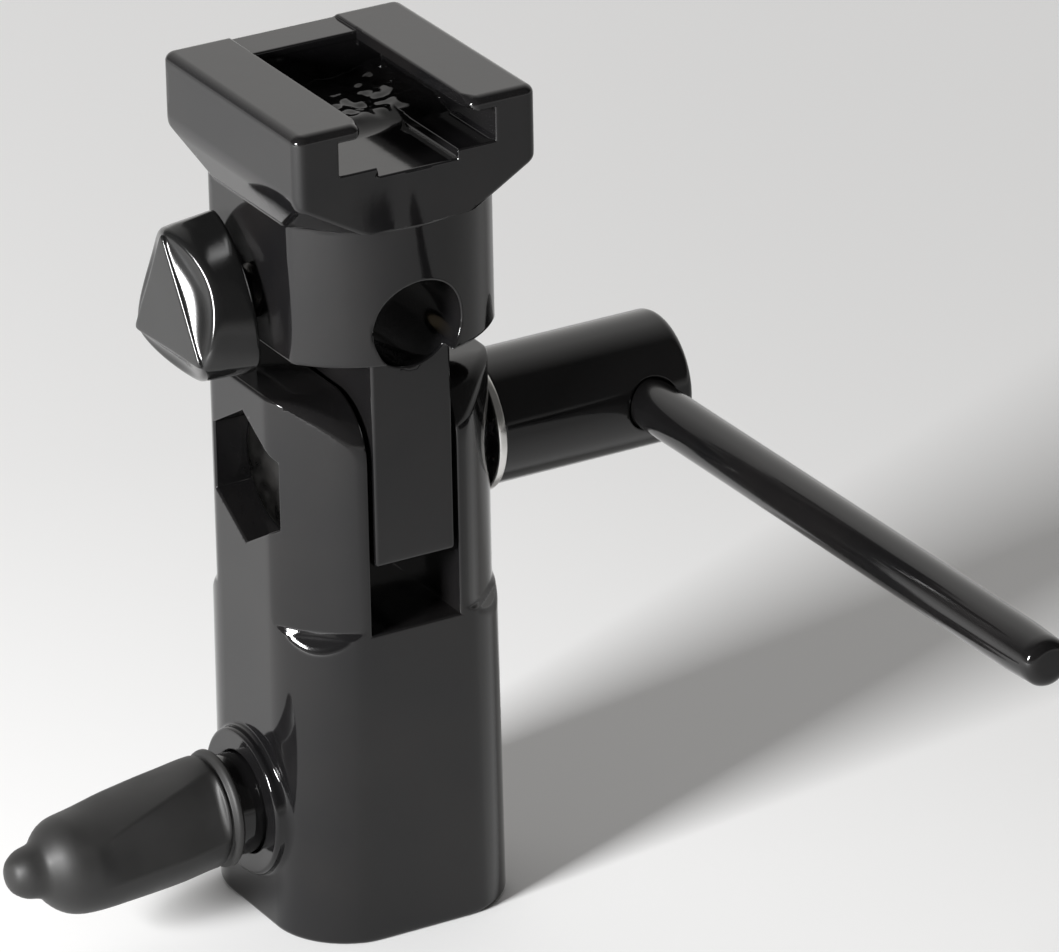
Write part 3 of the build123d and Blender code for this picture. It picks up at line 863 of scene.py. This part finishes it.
def make_floor():
    """A pale sweep with a painted glow that grows with distance. Its colour holds a painted shade to the
    front right of the object, which gives the glossy front faces something darker to reflect.
    """
    mesh = bpy.data.meshes.new("floor")
    bm = bmesh.new()
    bmesh.ops.create_grid(bm, x_segments=1, y_segments=1, size=6.0)
    bm.to_mesh(mesh)
    bm.free()
    floor = bpy.data.objects.new("floor", mesh)
    scene.collection.objects.link(floor)
    material, tree, shader = new_material("pale_floor")
    coordinates = tree.nodes.new("ShaderNodeTexCoord")
    forward = tree.nodes.new("ShaderNodeVectorMath")
    forward.operation = "DOT_PRODUCT"
    forward.inputs[1].default_value = direction(30, 0)
    tree.links.new(coordinates.outputs["Object"], forward.inputs[0])
    # painted shade: the floor colour darkens towards the front right of the object
    shade = remap(tree, forward.outputs["Value"], 0.0, 1.0, 0.07, 0.17)
    colour = blend_colours(tree, shade, (0.82, 0.82, 0.82), (0.56, 0.56, 0.56))
    tree.links.new(colour, shader.inputs["Base Color"])
    shader.inputs["Roughness"].default_value = 0.9
    shader.inputs["Specular IOR Level"].default_value = 0.2
    distance = tree.nodes.new("ShaderNodeVectorMath")
    distance.operation = "LENGTH"
    tree.links.new(coordinates.outputs["Object"], distance.inputs[0])
    # painted glow: the floor emits more light the farther it is from the object
    glow = remap(tree, distance.outputs["Value"], 0.0, 0.6, 0.12, 1.0)
    shader.inputs["Emission Color"].default_value = (1, 1, 1, 1)
    tree.links.new(glow, shader.inputs["Emission Strength"])
    mesh.materials.append(material)


def make_world():
    """A bright backdrop behind the object and a pale horizon; dark overhead and in front."""
    world = bpy.data.worlds.new("studio")
    world.use_nodes = True
    tree = world.node_tree
    background = tree.nodes["Background"]
    coordinates = tree.nodes.new("ShaderNodeTexCoord")
    facing = tree.nodes.new("ShaderNodeVectorMath")
    facing.operation = "DOT_PRODUCT"
    facing.inputs[1].default_value = direction(150.5, 18)
    tree.links.new(coordinates.outputs["Generated"], facing.inputs[0])
    backdrop = remap(tree, facing.outputs["Value"], 0.1, 1.0, 0.35, 0.85)
    split = tree.nodes.new("ShaderNodeSeparateXYZ")
    tree.links.new(coordinates.outputs["Generated"], split.inputs[0])
    horizon = remap(tree, split.outputs["Z"], 0.75, 0.0, 0.02, 0.16)
    brighter = tree.nodes.new("ShaderNodeMath")
    brighter.operation = "MAXIMUM"
    tree.links.new(backdrop, brighter.inputs[0])
    tree.links.new(horizon, brighter.inputs[1])
    background.inputs["Color"].default_value = (1.0, 0.985, 0.965, 1)
    tree.links.new(brighter.outputs[0], background.inputs["Strength"])
    scene.world = world


CAMERA_AIM = Vector((0.01731, -0.00832, 0.04781))
CAMERA_AZIMUTH = -29.46
CAMERA_ELEVATION = 24.39
CAMERA_ROLL = -1.08
CAMERA_DISTANCE = 0.91815
CAMERA_LENS = 289.0


def make_camera():
    data = bpy.data.cameras.new("camera")
    data.lens = CAMERA_LENS
    data.sensor_width = 36.0
    data.clip_start, data.clip_end = 0.05, 30.0
    camera = bpy.data.objects.new("camera", data)
    scene.collection.objects.link(camera)
    back = direction(CAMERA_AZIMUTH, CAMERA_ELEVATION)
    aim_at(camera, CAMERA_AIM + back * CAMERA_DISTANCE, CAMERA_AIM)
    level = (-back).to_track_quat("-Z", "Y")
    camera.rotation_quaternion = level @ Matrix.Rotation(math.radians(CAMERA_ROLL), 3, "Z").to_quaternion()
    scene.camera = camera


make_floor()
make_world()
soft_light("key", azimuth=-74, elevation=17, reach=0.62, size=0.15, power=9.2)
make_camera()
scene.view_settings.view_transform = "Standard"
